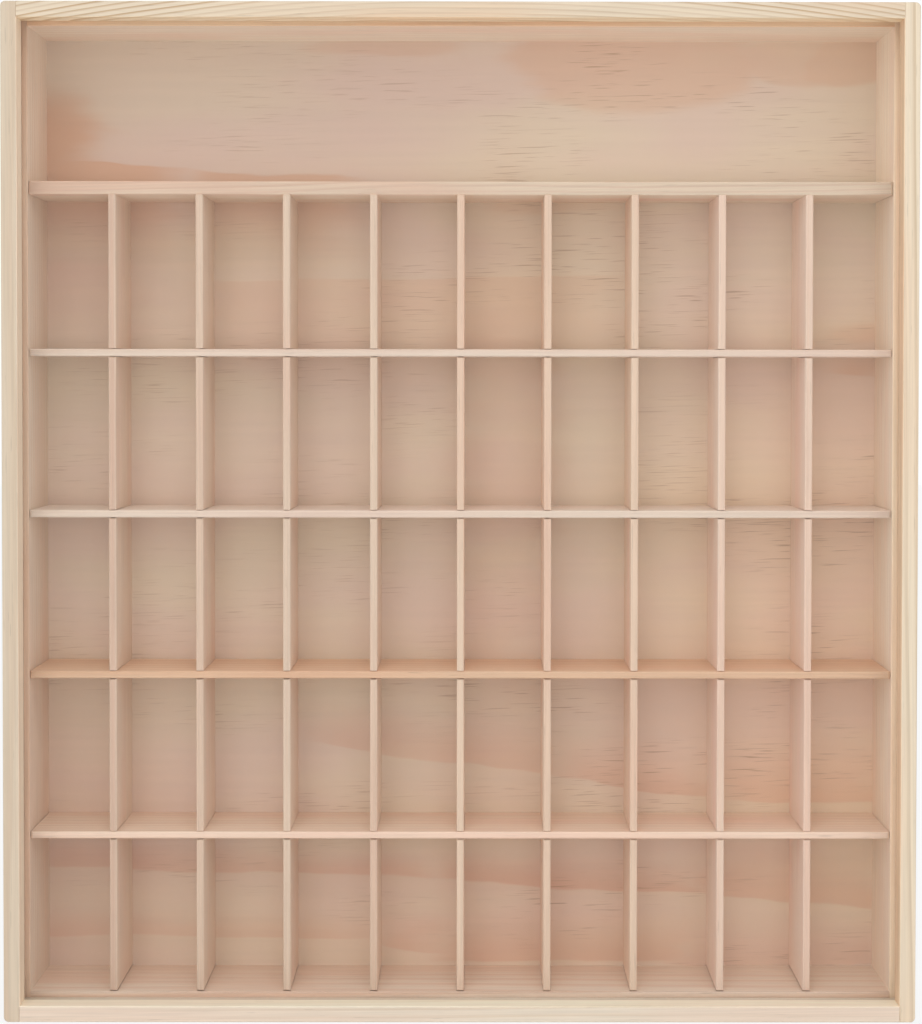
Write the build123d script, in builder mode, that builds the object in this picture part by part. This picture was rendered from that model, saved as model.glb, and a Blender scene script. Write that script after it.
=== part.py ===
"""Display cabinet of unfinished pine: a shallow case of small compartments behind a glazed door.

Millimetres. +X is to the viewer's right, +Y runs from the door to the back, +Z is up.
The origin is the middle of the base, halfway between the door's front and the back panel.
"""
from build123d import *
import os

os.makedirs("parts", exist_ok=True)

# Compartments: rows of equal cells under one undivided header compartment
columns = 10
rows = 5
cell_width = 35.7
cell_height = 68.9
header_height = 68.9
cell_depth = 35.4

# Timber
board_thickness = 7.0
header_shelf_thickness = 5.8
shelf_thickness = 3.2
divider_thickness = 3.2
back_thickness = 3.0
corner_round = 2.2
board_arris = 0.4
slat_arris = 0.7
slat_corner = 0.8
slot_corner = 0.4

# Fits of the shelf lattice
lap_gap = 0.1
slot_room = 0.3
divider_foot_gap = 0.3
slat_end_gap = 0.3
lattice_setback = 0.2

# Door frame and pane
frame_width = 7.0
lip_depth = 8.4
rebate_depth = 10.1
rebate_width = 2.5
frame_arris = 0.6
door_gap = 0.3
pane_thickness = 2.0
pane_clearance = 0.3

# Hinges, on the left side
hinge_inset = 85.0
hinge_length = 30.0
leaf_thickness = 0.7
leaf_width = 8.0
leaf_notch = 1.5
knuckle_radius = 1.5
end_knuckle_length = 9.0
knuckle_gap = 0.25
hinge_wall_gap = 0.3
pin_radius = 0.7
pin_clearance = 0.05
pin_head_radius = 1.2
pin_head_thickness = 0.6
screw_radius = 0.8
screw_head_radius = 1.5
screw_length = 4.0
screw_edge_distance = 6.0
screw_slot_width = 0.35
screw_slot_depth = 0.3

# Magnets that hold the door shut, on the right side
magnet_inset = 60.0
magnet_radius = 1.5
magnet_thickness = 3.0

# Nails
nail_radius = 0.6
nail_head_radius = 1.1
nail_head_thickness = 0.5
hole_clearance = 0.02
case_nail_length = 22.0
case_nails_per_corner = 3
case_nail_edge = 6.0
shelf_nail_edge = 10.0
door_nail_length = 18.0
back_nail_length = 15.0
side_back_nails = 5
side_back_nail_inset = 28.0
end_back_nails = 4
end_back_nail_inset = 45.0

# Sawtooth hangers on the back
hanger_offset = 110.0
hanger_drop = 4.6
hanger_length = 45.0
hanger_height = 9.0
hanger_thickness = 0.8
hanger_standoff = 1.4
hanger_foot = 8.5
hanger_slope = 2.0
hanger_tooth_pitch = 2.5
hanger_tooth_depth = 1.6
hanger_teeth = 8
hanger_nail_inset = 4.5
hanger_nail_length = 9.0

# Overall sizes that follow from them
inner_width = columns * cell_width + (columns - 1) * divider_thickness
lattice_height = rows * cell_height + (rows - 1) * shelf_thickness
inner_height = lattice_height + header_shelf_thickness + header_height
case_width = inner_width + 2 * board_thickness
case_height = inner_height + 2 * board_thickness
door_depth = lip_depth + rebate_depth
total_depth = door_depth + door_gap + cell_depth + back_thickness
half_width = case_width / 2
inner_half = inner_width / 2

# Planes from the front to the back
front_y = -total_depth / 2
lip_back_y = front_y + lip_depth
door_back_y = front_y + door_depth
case_front_y = door_back_y + door_gap
panel_y = case_front_y + cell_depth
back_y = panel_y + back_thickness
lattice_front_y = case_front_y + lattice_setback
lattice_depth = panel_y - lattice_front_y
lattice_mid_y = lattice_front_y + lattice_depth / 2
board_mid_y = case_front_y + cell_depth / 2
slat_length = inner_width - 2 * slat_end_gap
lap_depth = lattice_depth / 2 + lap_gap

# Heights from the base up
floor_z = board_thickness
header_shelf_z = floor_z + lattice_height + header_shelf_thickness / 2
ceiling_z = case_height - board_thickness

# Fastener places that two pieces share
corner_nail_pitch = (cell_depth - 2 * case_nail_edge) / (case_nails_per_corner - 1)
corner_nail_y = [
    case_front_y + case_nail_edge + index * corner_nail_pitch
    for index in range(case_nails_per_corner)
]
corner_nail_z = (board_thickness / 2, case_height - board_thickness / 2)
shelf_nail_y = (case_front_y + shelf_nail_edge, panel_y - shelf_nail_edge)
frame_wall = frame_width - rebate_width
door_nail_y = (front_y + lip_depth / 2, lip_back_y + rebate_depth / 2)
door_nail_z = (frame_wall / 2, case_height - frame_wall / 2)
magnet_z = (magnet_inset, case_height - magnet_inset)
magnet_x = half_width - frame_wall / 2
hinge_z = (hinge_inset - hinge_length / 2, case_height - hinge_inset - hinge_length / 2)
axis_x = -half_width - hinge_wall_gap - knuckle_radius
axis_y = door_back_y + door_gap / 2
screw_y_offset = leaf_notch + leaf_width / 2
screw_offsets = (screw_edge_distance, hinge_length - screw_edge_distance)
hanger_z = case_height - hanger_drop


def shelf_z(number):
    """Middle height of a row shelf, counted from the top down."""
    below = rows - number
    return floor_z + below * cell_height + (below - 0.5) * shelf_thickness


def divider_x(number):
    """Middle of a column divider, counted from the left."""
    return -inner_half + number * cell_width + (number - 0.5) * divider_thickness


def side_nails(side):
    """Heads of the nails that go through one side board into the boards and the header shelf."""
    heads = []
    for y in corner_nail_y:
        for z in corner_nail_z:
            heads.append((side * half_width, y, z))
    for y in shelf_nail_y:
        heads.append((side * half_width, y, header_shelf_z))
    return heads


def door_nails(side):
    """Heads of the nails that go through one door stile into the two rails."""
    heads = []
    for y in door_nail_y:
        for z in door_nail_z:
            heads.append((side * half_width, y, z))
    return heads


def back_nails():
    """Heads of the nails around the edge of the back panel."""
    heads = []
    side_pitch = (case_height - 2 * side_back_nail_inset) / (side_back_nails - 1)
    for index in range(side_back_nails):
        z = side_back_nail_inset + index * side_pitch
        for side in (-1, 1):
            heads.append((side * (half_width - board_thickness / 2), back_y, z))
    end_pitch = (case_width - 2 * end_back_nail_inset) / (end_back_nails - 1)
    for index in range(end_back_nails):
        x = -half_width + end_back_nail_inset + index * end_pitch
        for z in corner_nail_z:
            heads.append((x, back_y, z))
    return heads


def hanger_nails():
    """Heads of the nails in the feet of the hangers."""
    heads = []
    for centre in (-hanger_offset, hanger_offset):
        for side in (-1, 1):
            x = centre + side * (hanger_length / 2 - hanger_nail_inset)
            heads.append((x, back_y + hanger_thickness, hanger_z))
    return heads


def leaf_screws(direction):
    """Heads of the screws in the leaves on one side of the hinge line: 1 case, -1 door."""
    heads = []
    for base in hinge_z:
        for offset in screw_offsets:
            y = axis_y + direction * screw_y_offset
            heads.append((-half_width - leaf_thickness, y, base + offset))
    return heads


def drill(heads, outward, length, radius=nail_radius):
    """Plain holes for fasteners of this length, in the part being built."""
    for head in heads:
        with Locations(Plane(origin=head, z_dir=outward)):
            Hole(radius + hole_clearance, depth=length + hole_clearance)


def drill_headed(heads, outward, length):
    """Holes with room for a flush nail head, in the part being built."""
    for head in heads:
        with Locations(Plane(origin=head, z_dir=outward)):
            CounterBoreHole(
                nail_radius + hole_clearance,
                nail_head_radius + hole_clearance,
                nail_head_thickness,
                depth=length + hole_clearance,
            )


def magnet_pockets(face_y, outward):
    """Blind pockets for the magnets, in the part being built."""
    for z in magnet_z:
        with Locations(Plane(origin=(magnet_x, face_y, z), z_dir=outward)):
            Hole(magnet_radius + hole_clearance, depth=magnet_thickness)


def save(piece, name):
    """Label a finished piece and write its file."""
    piece.part.label = name
    export_step(piece.part, f"parts/{name}.step")


# Side boards of the case: full height, nailed to the boards between them
for side, name in ((-1, "left_side_board"), (1, "right_side_board")):
    outward = (side, 0, 0)
    board_x = side * (half_width - board_thickness / 2)
    with BuildPart() as side_board:
        with BuildSketch(Plane.XY):
            with Locations((board_x, board_mid_y)):
                Rectangle(board_thickness, cell_depth)
        extrude(amount=case_height)
        outer_face = side_board.faces().sort_by(Axis.X)[-1 if side > 0 else 0]
        fillet(outer_face.edges().filter_by(Axis.Y), corner_round)
        front_face = side_board.faces().sort_by(Axis.Y)[0]
        fillet(front_face.edges().filter_by(Axis.Z), board_arris)
        drill_headed(side_nails(side), outward, case_nail_length)
        drill(back_nails(), (0, 1, 0), back_nail_length)
        if side < 0:
            drill(leaf_screws(1), outward, screw_length, screw_radius)
        else:
            magnet_pockets(case_front_y, (0, -1, 0))
    save(side_board, name)

# Top and bottom boards of the case: between the side boards
for base, name in ((0, "bottom_board"), (ceiling_z, "top_board")):
    with BuildPart() as end_board:
        with BuildSketch(Plane.XY.offset(base)):
            with Locations((0, board_mid_y)):
                Rectangle(inner_width, cell_depth)
        extrude(amount=board_thickness)
        front_face = end_board.faces().sort_by(Axis.Y)[0]
        fillet(front_face.edges().filter_by(Axis.X), board_arris)
        for side in (-1, 1):
            drill(side_nails(side), (side, 0, 0), case_nail_length)
        drill(back_nails(), (0, 1, 0), back_nail_length)
        drill(hanger_nails(), (0, 1, 0), hanger_nail_length)
    save(end_board, name)

# Back panel: one sheet of thin plywood over the back edges of the four boards
with BuildPart() as back_panel:
    with BuildSketch(Plane.XZ.offset(-back_y)):
        with Locations((0, case_height / 2)):
            RectangleRounded(case_width, case_height, corner_round)
    extrude(amount=back_thickness)
    drill_headed(back_nails(), (0, 1, 0), back_nail_length)
    drill(hanger_nails(), (0, 1, 0), hanger_nail_length)
save(back_panel, "back_panel")

# Header shelf: the thick one over the lattice
with BuildPart() as header_shelf:
    with BuildSketch(Plane.XY.offset(header_shelf_z - header_shelf_thickness / 2)) as plan:
        with Locations((0, lattice_mid_y)):
            Rectangle(slat_length, lattice_depth)
        chamfer(plan.vertices().group_by(Axis.Y)[0], slat_corner)
    extrude(amount=header_shelf_thickness)
    front_edges = header_shelf.edges().filter_by(Axis.X).group_by(Axis.Y)[0]
    fillet(front_edges, slat_arris)
    for side in (-1, 1):
        drill(side_nails(side), (side, 0, 0), case_nail_length)
save(header_shelf, "header_shelf")

# Row shelves: slotted from the back, so their front edges run unbroken
for number in range(1, rows):
    slat_base = shelf_z(number) - shelf_thickness / 2
    with BuildPart() as row_shelf:
        with BuildSketch(Plane.XY.offset(slat_base)) as plan:
            with Locations((0, lattice_mid_y)):
                Rectangle(slat_length, lattice_depth)
            chamfer(plan.vertices().group_by(Axis.Y)[0], slat_corner)
            for column in range(1, columns):
                with Locations((divider_x(column), panel_y - lap_depth / 2)):
                    Rectangle(divider_thickness + 2 * lap_gap, lap_depth, mode=Mode.SUBTRACT)
        extrude(amount=shelf_thickness)
        front_edges = row_shelf.edges().filter_by(Axis.X).group_by(Axis.Y)[0]
        fillet(front_edges, slat_arris)
    save(row_shelf, f"row_shelf_{number}")

# Column dividers: slotted from the front, they pass behind the front half of each row shelf
divider_base = floor_z + divider_foot_gap
divider_height = lattice_height - divider_foot_gap
slot_height = shelf_thickness + 2 * slot_room
for number in range(1, columns):
    with BuildPart() as column_divider:
        side_plane = Plane.YZ.offset(divider_x(number) - divider_thickness / 2)
        with BuildSketch(side_plane) as elevation:
            with Locations((lattice_mid_y, divider_base + divider_height / 2)):
                Rectangle(lattice_depth, divider_height)
            for shelf in range(1, rows):
                with Locations((lattice_front_y + lap_depth / 2, shelf_z(shelf))):
                    Rectangle(lap_depth, slot_height, mode=Mode.SUBTRACT)
            chamfer(elevation.vertices().group_by(Axis.Y)[0], slot_corner)
        extrude(amount=divider_thickness)
        front_edges = column_divider.edges().filter_by(Axis.Z).group_by(Axis.Y)[0]
        fillet(front_edges, slat_arris)
    save(column_divider, f"column_divider_{number}")

# Door stiles: full height, with the rebate for the pane along the inner back edge
for side, name in ((-1, "door_left_stile"), (1, "door_right_stile")):
    outward = (side, 0, 0)
    stile_x = side * (half_width - frame_width / 2)
    rebate_x = side * (half_width - frame_width + rebate_width / 2)
    with BuildPart() as stile:
        with BuildSketch(Plane.XY):
            with Locations((stile_x, front_y + door_depth / 2)):
                Rectangle(frame_width, door_depth)
            with Locations((rebate_x, lip_back_y + rebate_depth / 2)):
                Rectangle(rebate_width, rebate_depth, mode=Mode.SUBTRACT)
        extrude(amount=case_height)
        outer_face = stile.faces().sort_by(Axis.X)[-1 if side > 0 else 0]
        fillet(outer_face.edges().filter_by(Axis.Y), corner_round)
        front_face = stile.faces().sort_by(Axis.Y)[0]
        fillet(front_face.edges().filter_by(Axis.Z), frame_arris)
        drill_headed(door_nails(side), outward, door_nail_length)
        if side < 0:
            drill(leaf_screws(-1), outward, screw_length, screw_radius)
        else:
            magnet_pockets(door_back_y, (0, 1, 0))
    save(stile, name)

# Door rails: between the stiles, the thin wall behind the lip reaching into the stiles' rebates
rail_span = case_width - 2 * frame_width
for top, name in ((False, "door_bottom_rail"), (True, "door_top_rail")):
    rail_base = case_height - frame_width if top else 0
    wall_base = case_height - frame_wall if top else 0
    with BuildPart() as rail:
        with BuildSketch(Plane.XY.offset(rail_base)):
            with Locations((0, front_y + lip_depth / 2)):
                Rectangle(rail_span, lip_depth)
        extrude(amount=frame_width)
        front_face = rail.faces().sort_by(Axis.Y)[0]
        fillet(front_face.edges().filter_by(Axis.X), frame_arris)
        with BuildSketch(Plane.XY.offset(wall_base)):
            with Locations((0, lip_back_y + rebate_depth / 2)):
                Rectangle(rail_span + 2 * rebate_width, rebate_depth)
        extrude(amount=frame_wall)
        for side in (-1, 1):
            drill(door_nails(side), (side, 0, 0), door_nail_length)
    save(rail, name)

# Pane: clear sheet in the door's rebate, against the back of the lip
pane_width = rail_span + 2 * (rebate_width - pane_clearance)
pane_height = case_height - 2 * (frame_wall + pane_clearance)
with BuildPart() as door_pane:
    with BuildSketch(Plane.XZ.offset(-lip_back_y)):
        with Locations((0, case_height / 2)):
            Rectangle(pane_width, pane_height)
    extrude(amount=-pane_thickness)
save(door_pane, "door_pane")

# Hinges: case leaf with the end knuckles, door leaf with the middle knuckle, headed pin
middle_knuckle_length = hinge_length - 2 * (end_knuckle_length + knuckle_gap)
end_knuckles = (
    (0, end_knuckle_length),
    (hinge_length - end_knuckle_length, end_knuckle_length),
)
middle_knuckle = ((end_knuckle_length + knuckle_gap, middle_knuckle_length),)
leaf_x = -half_width - leaf_thickness / 2
tab_length = leaf_notch - door_gap / 2
leaf_kinds = (("case_leaf", 1, end_knuckles), ("door_leaf", -1, middle_knuckle))
for hinge, base in zip(("lower", "upper"), hinge_z):
    for kind, direction, knuckles in leaf_kinds:
        plate_y = axis_y + direction * (leaf_notch + leaf_width / 2)
        tab_y = axis_y + direction * (door_gap / 2 + tab_length / 2)
        with BuildPart() as leaf:
            with BuildSketch(Plane.XY.offset(base)):
                with Locations((leaf_x, plate_y)):
                    Rectangle(leaf_thickness, leaf_width)
            extrude(amount=hinge_length)
            for low, length in knuckles:
                with BuildSketch(Plane.XY.offset(base + low)):
                    with Locations((leaf_x, tab_y)):
                        Rectangle(leaf_thickness, tab_length)
                    with Locations((axis_x, axis_y)):
                        Circle(knuckle_radius)
                        Circle(pin_radius + pin_clearance, mode=Mode.SUBTRACT)
                extrude(amount=length)
            for head in leaf_screws(direction):
                if base < head[2] < base + hinge_length:
                    with Locations(Plane(origin=head, z_dir=(-1, 0, 0))):
                        CounterSinkHole(
                            screw_radius + hole_clearance,
                            screw_head_radius,
                            depth=leaf_thickness,
                            counter_sink_angle=90,
                        )
        save(leaf, f"{hinge}_hinge_{kind}")
    with BuildPart() as pin:
        with BuildSketch(Plane.XY.offset(base - pin_head_thickness)):
            with Locations((axis_x, axis_y)):
                Circle(pin_head_radius)
        extrude(amount=pin_head_thickness)
        with BuildSketch(Plane.XY.offset(base)):
            with Locations((axis_x, axis_y)):
                Circle(pin_radius)
        extrude(amount=hinge_length)
        with BuildSketch(Plane.XY.offset(base + hinge_length)):
            with Locations((axis_x, axis_y)):
                Circle(pin_head_radius)
        extrude(amount=pin_head_thickness)
    save(pin, f"{hinge}_hinge_pin")

# Hinge screws: slotted countersunk heads, flush with the leaves
screw_head_height = screw_head_radius - screw_radius
shank_length = screw_length - screw_head_height
for name, direction in (("case_leaf_screws", 1), ("door_leaf_screws", -1)):
    with BuildPart() as screws:
        for head in leaf_screws(direction):
            with Locations(Plane(origin=head, z_dir=(1, 0, 0))):
                with Locations((0, 0, screw_head_height / 2)):
                    Cone(screw_head_radius, screw_radius, screw_head_height)
                with Locations((0, 0, screw_head_height + shank_length / 2)):
                    Cylinder(screw_radius, shank_length)
                with Locations((0, 0, screw_slot_depth / 2)):
                    Box(screw_slot_width, 2 * screw_head_radius, screw_slot_depth, mode=Mode.SUBTRACT)
    save(screws, name)

# Magnets: one pair in the case's right board, one pair facing them in the door's right stile
for name, face_y, outward in (
    ("case_magnets", case_front_y, (0, -1, 0)),
    ("door_magnets", door_back_y, (0, 1, 0)),
):
    with BuildPart() as magnets:
        for z in magnet_z:
            with Locations(Plane(origin=(magnet_x, face_y, z), z_dir=outward)):
                with Locations((0, 0, -magnet_thickness / 2)):
                    Cylinder(magnet_radius, magnet_thickness)
    save(magnets, name)

# Nails: flat heads flush with the wood, or on the feet of the hangers
nail_groups = (
    ("left_case_nails", side_nails(-1), (-1, 0, 0), case_nail_length, 0),
    ("right_case_nails", side_nails(1), (1, 0, 0), case_nail_length, 0),
    ("left_door_nails", door_nails(-1), (-1, 0, 0), door_nail_length, 0),
    ("right_door_nails", door_nails(1), (1, 0, 0), door_nail_length, 0),
    ("back_panel_nails", back_nails(), (0, 1, 0), back_nail_length, 0),
    ("hanger_nails", hanger_nails(), (0, 1, 0), hanger_nail_length, nail_head_thickness),
)
for name, heads, outward, length, proud in nail_groups:
    with BuildPart() as nails:
        for head in heads:
            with Locations(Plane(origin=head, z_dir=outward)):
                with Locations((0, 0, proud - nail_head_thickness / 2)):
                    Cylinder(nail_head_radius, nail_head_thickness)
                with Locations((0, 0, proud - nail_head_thickness / 2 - length / 2)):
                    Cylinder(nail_radius, length - nail_head_thickness)
    save(nails, name)

# Sawtooth hangers: a strip with flat feet and a raised, toothed middle
half_length = hanger_length / 2
slope_start = half_length - hanger_foot
slope_end = slope_start - hanger_slope
raised_y = back_y + hanger_standoff
hanger_base = hanger_z - hanger_height / 2
tooth_span = hanger_teeth * hanger_tooth_pitch
with BuildPart() as hangers:
    for centre in (-hanger_offset, hanger_offset):
        with BuildSketch(Plane.XY.offset(hanger_base)):
            with BuildLine():
                Polyline(
                    (centre - half_length, back_y),
                    (centre - slope_start, back_y),
                    (centre - slope_end, raised_y),
                    (centre + slope_end, raised_y),
                    (centre + slope_start, back_y),
                    (centre + half_length, back_y),
                    (centre + half_length, back_y + hanger_thickness),
                    (centre + slope_start, back_y + hanger_thickness),
                    (centre + slope_end, raised_y + hanger_thickness),
                    (centre - slope_end, raised_y + hanger_thickness),
                    (centre - slope_start, back_y + hanger_thickness),
                    (centre - half_length, back_y + hanger_thickness),
                    close=True,
                )
            make_face()
        extrude(amount=hanger_height)
        with BuildSketch(Plane.XZ.offset(-raised_y)):
            for tooth in range(hanger_teeth):
                left = centre - tooth_span / 2 + tooth * hanger_tooth_pitch
                with BuildLine():
                    Polyline(
                        (left, hanger_base),
                        (left + hanger_tooth_pitch, hanger_base),
                        (left + hanger_tooth_pitch / 2, hanger_base + hanger_tooth_depth),
                        close=True,
                    )
                make_face()
        extrude(amount=-hanger_thickness, mode=Mode.SUBTRACT)
    drill(hanger_nails(), (0, 1, 0), hanger_nail_length)
save(hangers, "sawtooth_hangers")
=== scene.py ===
"""Looks for the display cabinet: pine, plywood, clear acrylic, brass and steel, in studio light.

Metres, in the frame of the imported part: +X to the viewer's right, +Y to the back, +Z up.
"""

import math

import bpy
from mathutils import Euler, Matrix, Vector


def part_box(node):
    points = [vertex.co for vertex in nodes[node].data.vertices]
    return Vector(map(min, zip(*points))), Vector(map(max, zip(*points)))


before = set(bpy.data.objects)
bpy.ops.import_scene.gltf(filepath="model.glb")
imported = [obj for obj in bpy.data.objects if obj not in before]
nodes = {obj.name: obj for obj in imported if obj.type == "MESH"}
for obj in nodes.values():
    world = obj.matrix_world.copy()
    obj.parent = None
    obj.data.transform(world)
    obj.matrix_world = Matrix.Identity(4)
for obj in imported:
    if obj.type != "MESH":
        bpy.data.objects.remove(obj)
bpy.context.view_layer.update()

MM = 0.001
WHITE = (1.0, 1.0, 1.0, 1.0)


# Colour and node helpers


def srgb(red, green, blue):
    """A display colour from 0 to 255 as linear light."""
    linear = []
    for value in (red, green, blue):
        share = value / 255
        linear.append(share / 12.92 if share <= 0.04045 else ((share + 0.055) / 1.055) ** 2.4)
    return (*linear, 1.0)


class Graph:
    """Short calls for building one node tree."""

    def __init__(self, tree):
        self.tree = tree

    def put(self, socket, value):
        if isinstance(value, bpy.types.NodeSocket):
            self.tree.links.new(value, socket)
        else:
            socket.default_value = value

    def add(self, kind, inputs=None, **settings):
        node = self.tree.nodes.new("ShaderNode" + kind)
        for name, value in settings.items():
            setattr(node, name, value)
        for key, value in (inputs or {}).items():
            self.put(node.inputs[key], value)
        return node

    def math(self, operation, first, second=0.0):
        return self.add("Math", {0: first, 1: second}, operation=operation).outputs[0]

    def scaled(self, vector, factors):
        node = self.add("VectorMath", {0: vector, 1: factors}, operation="MULTIPLY")
        return node.outputs[0]

    def moved(self, vector, offset):
        return self.add("VectorMath", {0: vector, 1: offset}, operation="ADD").outputs[0]

    def length(self, vector):
        return self.add("VectorMath", {0: vector}, operation="LENGTH").outputs["Value"]

    def joined(self, x=0.0, y=0.0, z=0.0):
        return self.add("CombineXYZ", {0: x, 1: y, 2: z}).outputs[0]

    def separate(self, vector):
        return self.add("SeparateXYZ", {0: vector}).outputs

    def noise(self, vector, factors, detail=2.0):
        """Noise from 0 to 1. The factors are features per metre along X, Y and Z."""
        inputs = {"Vector": self.scaled(vector, factors), "Scale": 1.0, "Detail": detail}
        return self.add("TexNoise", inputs).outputs["Fac"]

    def ramp(self, value, low, high, bottom=0.0, top=1.0):
        """A smooth step from bottom to top as the value goes from low to high."""
        inputs = {0: value, 1: low, 2: high, 3: bottom, 4: top}
        return self.add("MapRange", inputs, interpolation_type="SMOOTHSTEP").outputs[0]

    def mix(self, factor, first, second, blend="MIX"):
        inputs = {0: factor, 6: first, 7: second}
        return self.add("Mix", inputs, data_type="RGBA", blend_type=blend).outputs[2]

    def tinted(self, colour, tint):
        """The colour times a fixed tint."""
        return self.mix(1.0, colour, (*tint, 1.0), "MULTIPLY")

    def shaded(self, colour, shade):
        """The colour times a grey value."""
        return self.mix(1.0, colour, self.joined(shade, shade, shade), "MULTIPLY")

    def bump(self, height, strength, distance):
        inputs = {"Strength": strength, "Distance": distance, "Height": height}
        return self.add("Bump", inputs).outputs[0]

    def seen_directly(self):
        """1 for rays that show the surface in the picture, also in a mirror or through a pane."""
        rays = self.add("LightPath").outputs
        seen = self.math("MAXIMUM", rays["Is Camera Ray"], rays["Is Glossy Ray"])
        return self.math("MAXIMUM", seen, rays["Is Transmission Ray"])


def new_group(name, inputs, outputs):
    """A node group with named sockets: (name, kind, default)."""
    tree = bpy.data.node_groups.new(name, "ShaderNodeTree")
    for label, kind, default in inputs:
        socket = tree.interface.new_socket(label, in_out="INPUT", socket_type="NodeSocket" + kind)
        if default is not None:
            socket.default_value = default
    for label, kind in outputs:
        tree.interface.new_socket(label, in_out="OUTPUT", socket_type="NodeSocket" + kind)
    graph = Graph(tree)
    entry = tree.nodes.new("NodeGroupInput")
    leave = tree.nodes.new("NodeGroupOutput")
    return graph, entry.outputs, leave.inputs


def empty_material(name):
    """A material with an output only: the material, its graph and the output's surface socket."""
    material = bpy.data.materials.new(name)
    material.use_nodes = True
    material.node_tree.nodes.clear()
    graph = Graph(material.node_tree)
    surface = graph.add("OutputMaterial").inputs["Surface"]
    return material, graph, surface


def new_material(name):
    """A material with a Principled shader: the material, its graph, the shader's node."""
    material, graph, surface = empty_material(name)
    shader = graph.add("BsdfPrincipled")
    graph.put(surface, shader.outputs[0])
    return material, graph, shader


def dress(node, material):
    """Give a CAD node its finished material."""
    mesh = nodes[node].data
    mesh.materials.clear()
    mesh.materials.append(material)


# Sawn pine: growth rings around a pith line along X, fibres, resin streaks

# Features per metre, along the grain and across it
BEND_SCALE = (5.0, 22.0, 22.0)
FIBRE_SCALE = (22.0, 1300.0, 1300.0)
BLUSH_SCALE = (7.0, 50.0, 50.0)
DASH_SCALE = (70.0, 1500.0, 1500.0)
# A ring's late wood darkens slowly from the first share of its width and ends between the others
LATE_START = 0.42
LATE_FULL = 0.88
LATE_END = 0.9
WEAKEST_RING = 0.35
MOST_BLUSH = 0.8
DASH_SHADE = 0.86
WOOD_SPECULAR = 0.3
PINE_BUMP = (0.35, 0.06 * MM)


def make_pine_group():
    graph, given, result = new_group(
        "sawn_pine",
        [
            ("Place", "Vector", None),
            ("Early", "Color", None),
            ("Late", "Color", None),
            ("Blush", "Color", None),
            ("Rings", "Float", 400.0),
            ("Contrast", "Float", 0.5),
            ("Wander", "Float", 1.0),
            ("Bow", "Float", 0.0),
            ("Seed", "Float", 0.0),
        ],
        [("Color", "Color"), ("Roughness", "Float"), ("Height", "Float")],
    )
    place = given["Place"]
    seed = given["Seed"]
    own = graph.moved(place, graph.joined(seed, seed, seed))
    bend = graph.math("SUBTRACT", graph.noise(own, BEND_SCALE), 0.5)
    bend = graph.math("MULTIPLY", bend, given["Wander"])
    axes = graph.separate(place)
    bowed = graph.math("MULTIPLY", graph.math("MULTIPLY", axes[0], axes[0]), given["Bow"])
    radius = graph.length(graph.joined(0.0, axes[1], graph.math("ADD", axes[2], bowed)))
    phase = graph.math("ADD", graph.math("MULTIPLY", radius, given["Rings"]), bend)
    part = graph.math("FRACT", phase)
    ring = graph.math("ADD", graph.math("FLOOR", phase), seed)
    chance = graph.add("TexWhiteNoise", {"W": ring}, noise_dimensions="1D").outputs["Value"]
    ring_strength = graph.ramp(chance, 0.0, 1.0, WEAKEST_RING, 1.0)
    darkening = graph.ramp(part, LATE_START, LATE_FULL)
    latewood = graph.math("MULTIPLY", darkening, graph.ramp(part, LATE_END, 1.0, 1.0, 0.0))
    latewood = graph.math("MULTIPLY", latewood, ring_strength)
    fibres = graph.noise(own, FIBRE_SCALE)
    broad = graph.noise(own, BLUSH_SCALE)
    dashes = graph.ramp(graph.noise(own, DASH_SCALE, detail=1.0), 0.68, 0.78)
    amount = graph.math("MULTIPLY", latewood, given["Contrast"])
    colour = graph.mix(amount, given["Early"], given["Late"])
    colour = graph.mix(graph.ramp(broad, 0.42, 0.72, 0.0, MOST_BLUSH), colour, given["Blush"])
    shade = graph.ramp(fibres, 0.25, 0.75, 0.94, 1.04)
    shade = graph.math("MULTIPLY", shade, graph.ramp(dashes, 0.0, 1.0, 1.0, DASH_SHADE))
    graph.put(result["Color"], graph.shaded(colour, shade))
    graph.put(result["Roughness"], graph.ramp(fibres, 0.2, 0.8, 0.5, 0.66))
    ridges = graph.math("MULTIPLY", latewood, 0.6)
    graph.put(result["Height"], graph.math("ADD", ridges, fibres))
    return graph.tree


pine_group = make_pine_group()


# Marks: where a board's faces are tinted, for painted light, painted shade and tone. Each gives 1 on
# those faces and 0 elsewhere.

floor_low, floor_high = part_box("bottom_board")
ceiling_low, ceiling_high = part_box("top_board")
wall_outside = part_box("right_side_board")[1].x
ROW_SHELVES = 4
DIVIDERS = 9


def from_middle(graph, value, middle):
    return graph.math("ABSOLUTE", graph.math("SUBTRACT", value, middle))


def inner_side(graph, place):
    """The door's inner sides, which get painted light."""
    axes = graph.separate(place)
    middle_height = (floor_high.z + ceiling_low.z) / 2
    beside = graph.math("SUBTRACT", graph.math("ABSOLUTE", axes[0]), floor_high.x)
    height = from_middle(graph, axes[2], middle_height)
    above = graph.math("SUBTRACT", height, ceiling_low.z - middle_height)
    outside = graph.math("MAXIMUM", beside, above)
    return graph.ramp(outside, 0.1 * MM, 0.35 * MM, 1.0, 0.0)


def front_edge(graph, place):
    """The front edges of the case boards and slats. On the case boards, in the rebate behind the
    door, the tint there is painted shade; on the slats it is darker than their faces, which carry
    painted light.
    """
    depth = graph.separate(place)[1]
    return graph.ramp(depth, floor_low.y + 0.15 * MM, floor_low.y + 0.6 * MM, 1.0, 0.0)


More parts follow.
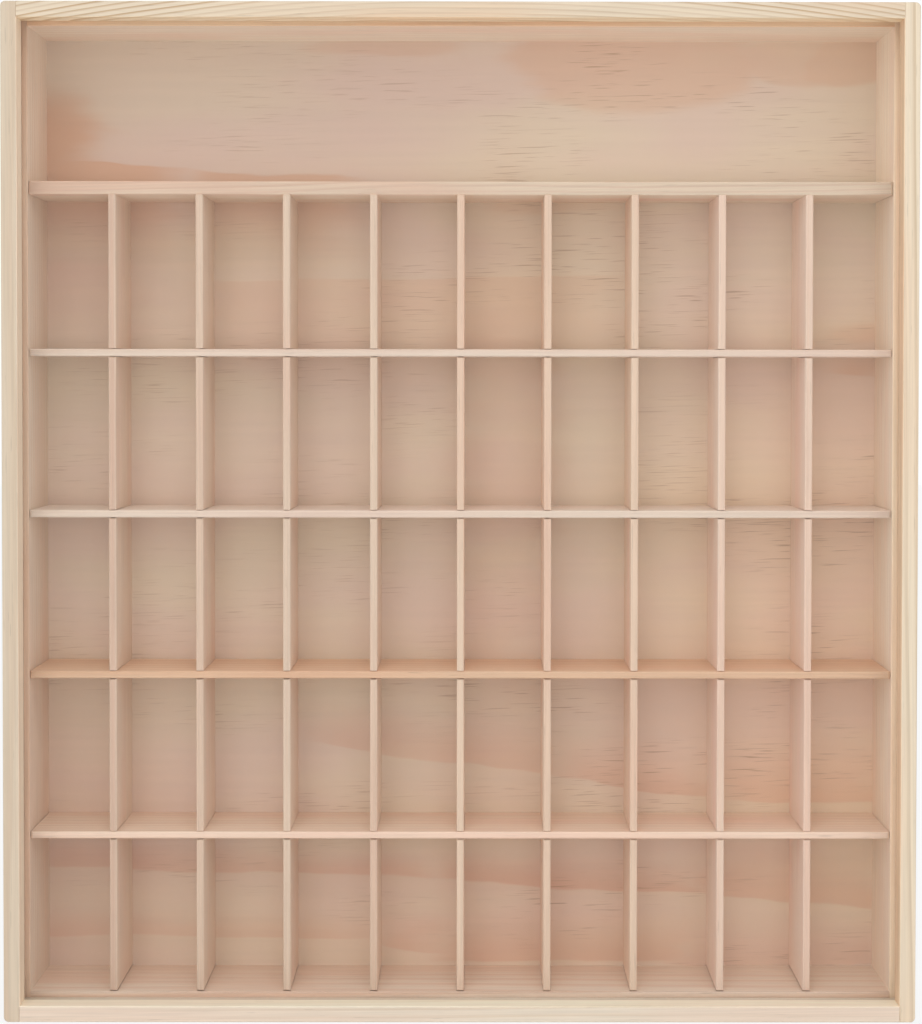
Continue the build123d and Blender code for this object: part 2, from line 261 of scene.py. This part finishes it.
def joint_shade_mask(graph, place):
    """Painted shade: dark lines at a divider's foot, and on its front just under the shelves."""
    height = graph.separate(place)[2]
    dark = graph.ramp(height, floor_high.z + 0.55 * MM, floor_high.z + 0.8 * MM, 1.0, 0.0)
    for number in range(1, ROW_SHELVES + 1):
        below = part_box(f"row_shelf_{number}")[0].z - 0.3 * MM
        line = graph.ramp(from_middle(graph, height, below), 0.2 * MM, 0.35 * MM, 1.0, 0.0)
        line = graph.math("MULTIPLY", line, front_edge(graph, place))
        dark = graph.math("MAXIMUM", dark, line)
    return dark


def floor_arris(graph, place):
    """The bottom board's upper front arris, rounded, painted darker as painted shade so that it shows
    no highlight.
    """
    axes = graph.separate(place)
    forward = graph.ramp(axes[1], floor_low.y + 0.6 * MM, floor_low.y + 1.0 * MM, 1.0, 0.0)
    upward = graph.ramp(axes[2], floor_high.z - 1.1 * MM, floor_high.z - 0.6 * MM)
    return graph.math("MULTIPLY", forward, upward)


def outer_face(graph, place):
    """The outsides of the case, tinted darker than the insides, whose colours carry painted light."""
    axes = graph.separate(place)
    beside = graph.math("SUBTRACT", graph.math("ABSOLUTE", axes[0]), wall_outside)
    middle_height = ceiling_high.z / 2
    height = from_middle(graph, axes[2], middle_height)
    above = graph.math("SUBTRACT", height, middle_height)
    return graph.ramp(graph.math("MAXIMUM", beside, above), -1.0 * MM, -0.3 * MM)


# How a board is turned so that its grain runs along X
TURNS = {"X": (0, 0, 0), "Z": (0, math.pi / 2, 0)}


def pine(node, grain, pith, tilt, colours, rings, contrast, seed, faces, wander=1.0, bow=0.0):
    """Sawn pine for one board. The grain runs along an axis, pith is where the middle of the tree
    lies beside the board's middle, across the grain, in millimetres, and tilt is how far the tree
    leans, in degrees. Wander is how unevenly the rings run, and the bow bends them along the grain.
    Each of the faces is a function that marks them and a tint that multiplies the colour there."""
    material, graph, shader = new_material("pine_" + node)
    low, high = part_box(node)
    middle = (low + high) / 2
    turn = Euler(TURNS[grain]).to_matrix()
    lean = Euler((0, math.radians(tilt[0]), math.radians(tilt[1]))).to_matrix()
    whole = (lean @ turn).to_euler()
    offset = -(whole.to_matrix() @ middle) - Vector((0, pith[0] * MM, pith[1] * MM))
    plain = graph.add("TexCoord").outputs["Object"]
    turned = {"Vector": plain, "Location": offset, "Rotation": whole}
    place = graph.add("Mapping", turned).outputs[0]
    wood = graph.add("Group", node_tree=pine_group)
    early, late, blush = colours
    for name, value in (
        ("Place", place),
        ("Early", early),
        ("Late", late),
        ("Blush", blush),
        ("Rings", rings),
        ("Contrast", contrast),
        ("Wander", wander),
        ("Bow", bow),
        ("Seed", seed),
    ):
        graph.put(wood.inputs[name], value)
    colour = wood.outputs["Color"]
    for where, tint in faces:
        colour = graph.mix(where(graph, plain), colour, graph.tinted(colour, tint))
    graph.put(shader.inputs["Base Color"], colour)
    graph.put(shader.inputs["Roughness"], wood.outputs["Roughness"])
    graph.put(shader.inputs["Normal"], graph.bump(wood.outputs["Height"], *PINE_BUMP))
    shader.inputs["Specular IOR Level"].default_value = WOOD_SPECULAR
    dress(node, material)


# Early wood, late wood and blush of each sort of board. The case, header and slat colours are paler
# than the wood, as painted light inside the case, and the right case board is paler than the left, as
# painted light from the left
honey_pine = (srgb(221, 205, 182), srgb(188, 158, 124), srgb(221, 194, 166))
dull_pine = (srgb(212, 196, 174), srgb(198, 171, 144), srgb(212, 189, 167))
pale_pine = (srgb(228, 215, 197), srgb(212, 188, 160), srgb(228, 207, 189))
right_pine = (srgb(228, 212, 188), srgb(182, 155, 121), srgb(228, 203, 176))
left_case = (srgb(238, 221, 203), srgb(227, 194, 168), srgb(237, 210, 190))
right_case = (srgb(252, 238, 219), srgb(246, 215, 188), srgb(252, 228, 208))
top_case = (srgb(247, 232, 214), srgb(240, 208, 182), srgb(247, 220, 200))
bottom_case = (srgb(238, 219, 201), srgb(226, 190, 164), srgb(237, 208, 187))
header_pine = (srgb(243, 226, 206), srgb(224, 186, 163), srgb(243, 210, 190))
pale_slat = (srgb(243, 228, 214), srgb(225, 198, 178), srgb(243, 220, 206))
amber_slat = (srgb(237, 203, 173), srgb(219, 168, 132), srgb(235, 194, 163))
dull_slat = (srgb(237, 217, 198), srgb(218, 180, 155), srgb(236, 206, 187))
warm_slat = (srgb(243, 220, 199), srgb(225, 183, 157), srgb(242, 209, 188))
bright_slat = (srgb(247, 227, 212), srgb(231, 196, 172), srgb(247, 217, 201))

# The door's inner sides are painted lighter than its fronts, as painted light. The case's outsides
# and the header shelf's and slats' front edges are tinted darker than the inner faces, whose colours
# carry painted light
frame_faces = ((inner_side, (1.34, 1.35, 1.3)),)
bottom_faces = ((inner_side, (1.3, 1.42, 1.4)),)
left_faces = ((inner_side, (1.45, 1.49, 1.55)),)
right_faces = ((inner_side, (1.2, 1.12, 1.07)),)
outside = (outer_face, (0.8, 0.82, 0.8))
# Painted shade on the case boards' front edges in the rebate behind the door, deepest at the top and
# left
left_case_faces = ((front_edge, (0.94, 0.81, 0.74)), outside)
right_case_faces = ((front_edge, (1.03, 0.94, 0.85)), outside)
top_case_faces = ((front_edge, (0.96, 0.78, 0.62)), outside)
bottom_case_faces = (
    (front_edge, (0.99, 0.93, 0.9)),
    (floor_arris, (0.88, 0.87, 0.88)),
    outside,
)
# The header shelf's and slats' front edges are tinted darker than their faces, which carry painted
# light
header_faces = ((front_edge, (0.74, 0.69, 0.65)),)
slat_edge = (front_edge, (0.81, 0.76, 0.72))
# Painted shade where the dividers meet the floor and the shelves
painted_joint_shade = (joint_shade_mask, (0.5, 0.42, 0.36))

# Boards: grain, pith, tilt, colours, rings per metre, contrast, seed, faces, wander, bow
BOARDS = {
    "door_left_stile": ("Z", (70, 30), (0.4, 0.3), dull_pine, 210.0, 0.35, 1.3, left_faces),
    "door_right_stile": ("Z", (-45, 12), (0.3, 0.2), right_pine, 640.0, 1.0, 2.7, right_faces),
    "door_top_rail": ("X", (12, -42), (0.4, 0.4), honey_pine, 480.0, 1.0, 4.1, frame_faces, 2.0, 0.5),
    "door_bottom_rail": ("X", (20, 80), (0.5, 0.4), pale_pine, 300.0, 0.5, 5.9, bottom_faces),
    "left_side_board": ("Z", (60, 40), (0.5, 0.5), left_case, 330.0, 0.5, 7.2, left_case_faces),
    "right_side_board": ("Z", (-50, 45), (0.5, -0.4), right_case, 380.0, 0.5, 8.8, right_case_faces),
    "top_board": ("X", (40, -60), (0.6, 0.5), top_case, 340.0, 0.6, 10.3, top_case_faces),
    "bottom_board": ("X", (-35, 60), (0.7, -0.5), bottom_case, 300.0, 0.55, 12.6, bottom_case_faces),
    "header_shelf": ("X", (30, 70), (1.3, 0.5), header_pine, 480.0, 0.6, 15.9, header_faces, 3.0),
}
for board, look in BOARDS.items():
    pine(board, *look)

# Row shelves: colours and the tint of the front edge
SHELF_LOOKS = (
    (pale_slat, slat_edge),
    (pale_slat, slat_edge),
    (amber_slat, slat_edge),
    (warm_slat, (front_edge, (0.94, 0.88, 0.87))),
)
for number in range(1, ROW_SHELVES + 1):
    side = -1 if number % 2 else 1
    pith = (25 + 9 * number, side * (45 + 6 * number))
    tilt = (0.4 * side, 0.5)
    rings = 260.0 + 50.0 * (number % 3)
    colours, edge = SHELF_LOOKS[number - 1]
    seed = 16.0 + 1.7 * number
    pine(f"row_shelf_{number}", "X", pith, tilt, colours, rings, 0.5, seed, (edge,))

# Dividers: tints of the front edges that differ from a plain slat's; those of dividers 1 and 2 are
# darker as painted shade cast by the door's left side
divider_tints = {
    1: (0.74, 0.635, 0.595),
    2: (0.78, 0.71, 0.665),
    6: (0.8, 0.73, 0.69),
    8: (0.815, 0.745, 0.69),
    9: (0.81, 0.735, 0.68),
}
for number in range(1, DIVIDERS + 1):
    side = -1 if number % 2 else 1
    pith = (side * (40 + 5 * number), 20 + 8 * (number % 4))
    tilt = (0.25 * side, 0.1 + 0.1 * (number % 3))
    # Colours lighter from left to right: painted shade cast by the door's left side on the left
    # dividers
    colours = dull_slat if number < 5 else warm_slat if number < 8 else bright_slat
    rings = 420.0 + 60.0 * (number % 4)
    contrast = 0.35 if number < 8 else 0.2
    seed = 41.0 + 2.9 * number
    edge = (front_edge, divider_tints[number]) if number in divider_tints else slat_edge
    faces = (edge, painted_joint_shade)
    pine(f"column_divider_{number}", "Z", pith, tilt, colours, rings, contrast, seed, faces)


# Plywood back: rotary-cut pine veneer, the grain along X, with patches of orange heartwood

# Heartwood patches: middle x, middle z, half width, half height in millimetres,
# the share of the radius where the edge starts to fade, strength
HEARTWOOD = (
    (-190, 396, 30, 26, 0.35, 0.95),
    (82, 430, 64, 25, 0.8, 0.5),
    (162, 431, 36, 13, 0.8, 0.45),
    (180, 430, 26, 12, 0.8, 0.6),
    (-36, 436, 42, 5, 0.6, 0.4),
    (41, 365, 42, 7, 0.3, 0.4),
    (182, 303, 20, 6, 0.3, 0.4),
)

# Heartwood bands: left end x and z, right end x and z, and the height over which
# the band fades, all in millimetres, and its strength. A band has one crisp edge, along the line
# between its ends, and fades upward from it, or downward where the height is negative.
BANDS = (
    (-215, 387, -120, 379, -60, 0.85),
    (-140, 380, -40, 375, -60, 0.75),
    (-135, 328, 85, 331, -60, 0.36),
    (-215, 340, -140, 339, -50, 0.2),
    (155, 284, 215, 285, 14, 0.5),
    (-82, 114, 60, 94, 26, 0.42),
    (30, 98, 130, 82, 30, 0.52),
    (105, 84, 215, 83, 42, 0.52),
    (-215, 54, 0, 47, 16, 0.5),
    (-25, 48, 130, 40, 18, 0.62),
    (100, 41, 215, 32, 36, 0.58),
    (-215, 22, -30, 19, 14, 0.42),
    (-50, 19, 5, 9, 22, 0.5),
    (-20, 9, 120, 9, 28, 0.55),
    (80, 8, 215, 8, 30, 0.3),
)
BAND_END = 30 * MM

# Soft tints: middle x, middle z, half width, half height in millimetres, tint
TINTS = (
    # The first two tints are painted shade in the left part of the header compartment and of the top
    # row of cells
    (-110, 410, 190, 60, (0.88, 0.84, 0.86)),
    (-168, 332, 75, 42, (0.9, 0.84, 0.83)),
    (20, 230, 26, 190, (0.98, 0.92, 0.89)),
    (200, 160, 150, 200, (1.13, 1.06, 1.0)),
    (-190, 60, 90, 110, (0.99, 0.9, 0.91)),
    (0, 30, 170, 70, (1.06, 1.0, 0.99)),
)

VENEER = srgb(221, 203, 181)
PINK_VENEER = srgb(220, 197, 181)
LOW_HEARTWOOD = srgb(212, 164, 136)
HIGH_HEARTWOOD = srgb(216, 175, 145)
DASH_BROWN = srgb(166, 130, 104)
# Features per metre along X, Y and Z
FLAME_SCALE = (14.0, 1.0, 55.0)
CLOUD_SCALE = (7.0, 1.0, 20.0)
LINE_SCALE = (9.0, 1.0, 300.0)
CLUSTER_SCALE = (8.0, 1.0, 26.0)
PORE_SCALE = (58.0, 1.0, 1500.0)
# How far the flames shift the pattern along the grain and across it
FLAME_ALONG = 55 * MM
FLAME_ACROSS = 9 * MM
DASH_SLANT = math.radians(2.5)
DASH_STAGGER = 11.0
PLYWOOD_BUMP = (0.3, 0.05 * MM)


def ellipse_reach(graph, place, x, z, half_width, half_height):
    """How far out of an ellipse's middle a point lies: 1 on the ellipse. Sizes in millimetres."""
    apart = graph.moved(place, (-x * MM, 0.0, -z * MM))
    return graph.length(graph.scaled(apart, (1 / (half_width * MM), 0.0, 1 / (half_height * MM))))


def heartwood_amount(graph, place):
    """The strongest of the patches and bands at each point."""
    axes = graph.separate(place)
    heart = 0.0
    for x, z, half_width, half_height, fade_start, strength in HEARTWOOD:
        reach = ellipse_reach(graph, place, x, z, half_width, half_height)
        heart = graph.math("MAXIMUM", heart, graph.ramp(reach, fade_start, 1.04, strength, 0.0))
    for left, left_height, right, right_height, fade, strength in BANDS:
        slope = (right_height - left_height) / (right - left)
        line = graph.math("MULTIPLY", graph.math("SUBTRACT", axes[0], left * MM), slope)
        above = graph.math("SUBTRACT", axes[2], graph.math("ADD", line, left_height * MM))
        inside = graph.math("MULTIPLY", above, math.copysign(1.0, fade))
        crisp = graph.ramp(inside, -0.5 * MM, 0.7 * MM)
        soft = graph.ramp(inside, 0.0, abs(fade) * MM, strength, 0.0)
        band = graph.math("MULTIPLY", crisp, soft)
        for end, way in ((left, 1.0), (right, -1.0)):
            past = graph.math("MULTIPLY", graph.math("SUBTRACT", axes[0], end * MM), way)
            band = graph.math("MULTIPLY", band, graph.ramp(past, 0.0, BAND_END))
        heart = graph.math("MAXIMUM", heart, band)
    return heart


def make_plywood():
    material, graph, shader = new_material("plywood_back")
    # The two faces of the sheet are two veneers, so the back one reads the pattern from elsewhere
    plain = graph.add("TexCoord").outputs["Object"]
    low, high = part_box("back_panel")
    turned = graph.math("GREATER_THAN", graph.separate(plain)[1], (low.y + high.y) / 2)
    sign = graph.math("SUBTRACT", 1.0, graph.math("MULTIPLY", turned, 2.0))
    place = graph.scaled(plain, graph.joined(sign, 1.0, sign))
    place = graph.moved(place, graph.joined(z=graph.math("MULTIPLY", turned, high.z)))
    flame = graph.math("SUBTRACT", graph.noise(place, FLAME_SCALE, detail=3.0), 0.5)
    along = graph.math("MULTIPLY", flame, FLAME_ALONG)
    across = graph.math("MULTIPLY", flame, FLAME_ACROSS)
    wavy = graph.moved(place, graph.joined(x=along, z=across))
    cloud = graph.noise(place, CLOUD_SCALE, detail=3.0)
    lines = graph.noise(place, LINE_SCALE)
    colour = graph.mix(graph.ramp(cloud, 0.36, 0.64), VENEER, PINK_VENEER)
    heart = heartwood_amount(graph, wavy)
    heart = graph.math("MULTIPLY", heart, graph.ramp(cloud, 0.3, 0.7, 0.75, 1.0))
    height = graph.separate(place)[2]
    heart_colour = graph.mix(graph.ramp(height, 0.15, 0.32), LOW_HEARTWOOD, HIGH_HEARTWOOD)
    colour = graph.mix(heart, colour, heart_colour)
    # Broad tints; the first two are painted shade at the left of the header compartment and of the
    # top row
    for x, z, half_width, half_height, tint in TINTS:
        reach = ellipse_reach(graph, wavy, x, z, half_width, half_height)
        amount = graph.ramp(reach, 0.3, 1.1, 0.8, 0.0)
        colour = graph.mix(amount, colour, graph.tinted(colour, tint))
    colour = graph.shaded(colour, graph.ramp(lines, 0.3, 0.7, 0.985, 1.015))
    slanted = {"Vector": place, "Rotation": (0.0, DASH_SLANT, 0.0)}
    slant = graph.add("Mapping", slanted).outputs[0]
    # Each row of dashes starts elsewhere, so that they don't stack
    stagger = graph.math("MULTIPLY", graph.separate(slant)[2], DASH_STAGGER)
    rows = graph.moved(slant, graph.joined(x=stagger))
    dashes = graph.ramp(graph.noise(rows, PORE_SCALE, detail=1.0), 0.605, 0.7)
    cluster = graph.ramp(graph.noise(place, CLUSTER_SCALE, detail=1.0), 0.45, 0.6)
    dashes = graph.math("MULTIPLY", dashes, cluster)
    fuller = graph.ramp(graph.separate(place)[0], -0.12, 0.1, 0.36, 0.56)
    colour = graph.mix(graph.math("MULTIPLY", dashes, fuller), colour, DASH_BROWN)
    graph.put(shader.inputs["Base Color"], colour)
    graph.put(shader.inputs["Roughness"], graph.ramp(lines, 0.2, 0.8, 0.52, 0.68))
    graph.put(shader.inputs["Normal"], graph.bump(lines, *PLYWOOD_BUMP))
    shader.inputs["Specular IOR Level"].default_value = WOOD_SPECULAR
    return material


dress("back_panel", make_plywood())


# Clear acrylic: seen through, with a slight loss of light and a reflection that grows when it is
# seen from the side

PANE_TINT = (0.995, 0.995, 0.992, 1.0)
SQUARE_ON_REFLECTION = 0.012


def make_acrylic():
    material, graph, surface = empty_material("clear_acrylic")
    through = graph.add("BsdfTransparent", {"Color": PANE_TINT})
    place = graph.add("TexCoord").outputs["Object"]
    smears = graph.ramp(graph.noise(place, (30.0, 30.0, 30.0), detail=3.0), 0.3, 0.7, 0.02, 0.07)
    mirror = graph.add("BsdfGlossy", {"Color": WHITE, "Roughness": smears})
    facing = graph.add("LayerWeight", {"Blend": 0.5}).outputs["Facing"]
    grazing = graph.math("POWER", facing, 5.0)
    reflected = graph.add("MapRange", {0: grazing, 3: SQUARE_ON_REFLECTION, 4: 1.0}).outputs[0]
    rays = graph.add("LightPath").outputs
    passing = graph.math("MAXIMUM", rays["Is Shadow Ray"], rays["Is Diffuse Ray"])
    amount = graph.math("MULTIPLY", reflected, graph.math("SUBTRACT", 1.0, passing))
    share = graph.add("MixShader", {0: amount, 1: through.outputs[0], 2: mirror.outputs[0]})
    graph.put(surface, share.outputs[0])
    return material


dress("door_pane", make_acrylic())


# Metals

METAL_BUMP = (0.2, 0.02 * MM)
SCRATCHED = 0.18


def make_metal(name, colour, dark, roughness, scale):
    """Bare metal with handling marks: the colour dulls and roughens in patches."""
    material, graph, shader = new_material(name)
    place = graph.add("TexCoord").outputs["Object"]
    patches = graph.noise(place, (scale, scale, scale), detail=3.0)
    scratches = graph.noise(place, (scale * 2, scale * 2, scale * 14))
    dull = graph.ramp(patches, 0.45, 0.75)
    rough = graph.ramp(scratches, 0.25, 0.75, roughness, roughness + SCRATCHED)
    graph.put(shader.inputs["Base Color"], graph.mix(dull, colour, dark))
    graph.put(shader.inputs["Roughness"], rough)
    graph.put(shader.inputs["Normal"], graph.bump(scratches, *METAL_BUMP))
    shader.inputs["Metallic"].default_value = 1.0
    return material


brass = make_metal("plated_brass", srgb(208, 182, 126), srgb(184, 155, 100), 0.26, 260.0)
steel = make_metal("bright_steel", srgb(196, 196, 194), srgb(150, 148, 144), 0.3, 300.0)
zinc = make_metal("zinc_plate", srgb(206, 207, 205), srgb(168, 168, 166), 0.34, 240.0)
nickel = make_metal("nickel_plate", srgb(210, 207, 200), srgb(172, 168, 160), 0.2, 300.0)
for hinge in ("lower", "upper"):
    for piece in ("case_leaf", "door_leaf", "pin"):
        dress(f"{hinge}_hinge_{piece}", brass)
for piece in ("case_leaf_screws", "door_leaf_screws"):
    dress(piece, brass)
for piece in (
    "left_case_nails",
    "right_case_nails",
    "left_door_nails",
    "right_door_nails",
    "back_panel_nails",
    "hanger_nails",
):
    dress(piece, steel)
dress("sawtooth_hangers", zinc)
for piece in ("case_magnets", "door_magnets"):
    dress(piece, nickel)


# Camera, fitted to the photograph's frame of 922 by 1024 pixels

IMAGE_WIDTH = 922
IMAGE_HEIGHT = 1024
FOCAL_PIXELS = 1746.0
PRINCIPAL_X = 479.7
PRINCIPAL_Y = 414.1
SENSOR = 36.0
CAMERA_PLACE = (6.9 * MM, -789.2 * MM, 280.8 * MM)
CAMERA_PITCH = math.radians(-1.051)
CAMERA_ROLL = math.radians(-0.067)
CAMERA_YAW = math.radians(-0.116)

camera_data = bpy.data.cameras.new("camera")
camera_data.sensor_width = SENSOR
camera_data.lens = FOCAL_PIXELS * SENSOR / IMAGE_HEIGHT
camera_data.shift_x = (IMAGE_WIDTH / 2 - PRINCIPAL_X) / IMAGE_HEIGHT
camera_data.shift_y = (PRINCIPAL_Y - IMAGE_HEIGHT / 2) / IMAGE_HEIGHT
camera = bpy.data.objects.new("camera", camera_data)
bpy.context.scene.collection.objects.link(camera)
camera.location = CAMERA_PLACE
camera.rotation_euler = Euler((math.pi / 2 + CAMERA_PITCH, CAMERA_ROLL, CAMERA_YAW))
bpy.context.scene.camera = camera


# Floor

FLOOR_SIZE = 8.0
FLOOR_GREY = (0.86, 0.86, 0.86, 1.0)
FLOOR_WHITENESS = 0.8

bpy.ops.mesh.primitive_plane_add(size=FLOOR_SIZE)
floor = bpy.context.object
floor.name = "floor"
floor_material, floor_graph, floor_surface = empty_material("studio_floor")
floor_matt = floor_graph.add("BsdfPrincipled", {"Base Color": FLOOR_GREY, "Roughness": 0.8})
floor_white = floor_graph.add("Emission", {"Color": WHITE, "Strength": 1.0})
floor_whitened = floor_graph.math("MULTIPLY", floor_graph.seen_directly(), FLOOR_WHITENESS)
floor_parts = {0: floor_whitened, 1: floor_matt.outputs[0], 2: floor_white.outputs[0]}
floor_graph.put(floor_surface, floor_graph.add("MixShader", floor_parts).outputs[0])
floor.data.materials.append(floor_material)


# Lamps: place, width, height, watts. All face the middle of the cabinet.

AIM = Vector((0.0, 0.0, 0.22))
LAMPS = {
    "left_light": ((-0.8, -1.6, 0.8), 1.0, 1.0, 2.0),
    "top_light": ((0.0, -1.1, 1.6), 1.2, 1.0, 4.7),
    "front_light": ((0.0, -1.9, 0.3), 1.6, 1.4, 3.0),
    "fill_light": ((0.0, -1.2, 0.14), 1.8, 0.2, 2.0),
}
for name, (place, width, height, power) in LAMPS.items():
    lamp = bpy.data.lights.new(name, "AREA")
    lamp.shape = "RECTANGLE"
    lamp.size = width
    lamp.size_y = height
    lamp.energy = power
    holder = bpy.data.objects.new(name, lamp)
    bpy.context.scene.collection.objects.link(holder)
    holder.location = place
    holder.rotation_euler = (AIM - Vector(place)).to_track_quat("-Z", "Y").to_euler()
    holder.visible_glossy = False


# World: soft light on the object, plain white behind it

AMBIENT = 0.8

world = bpy.data.worlds.new("studio")
bpy.context.scene.world = world
world.use_nodes = True
world.node_tree.nodes.clear()
world_graph = Graph(world.node_tree)
ambient = world_graph.add("Background", {"Color": WHITE, "Strength": AMBIENT})
white = world_graph.add("Background", {"Color": WHITE, "Strength": 1.0})
world_parts = {0: world_graph.seen_directly(), 1: ambient.outputs[0], 2: white.outputs[0]}
both = world_graph.add("MixShader", world_parts)
world_graph.put(world_graph.add("OutputWorld").inputs[0], both.outputs[0])

bpy.context.scene.view_settings.view_transform = "Standard"
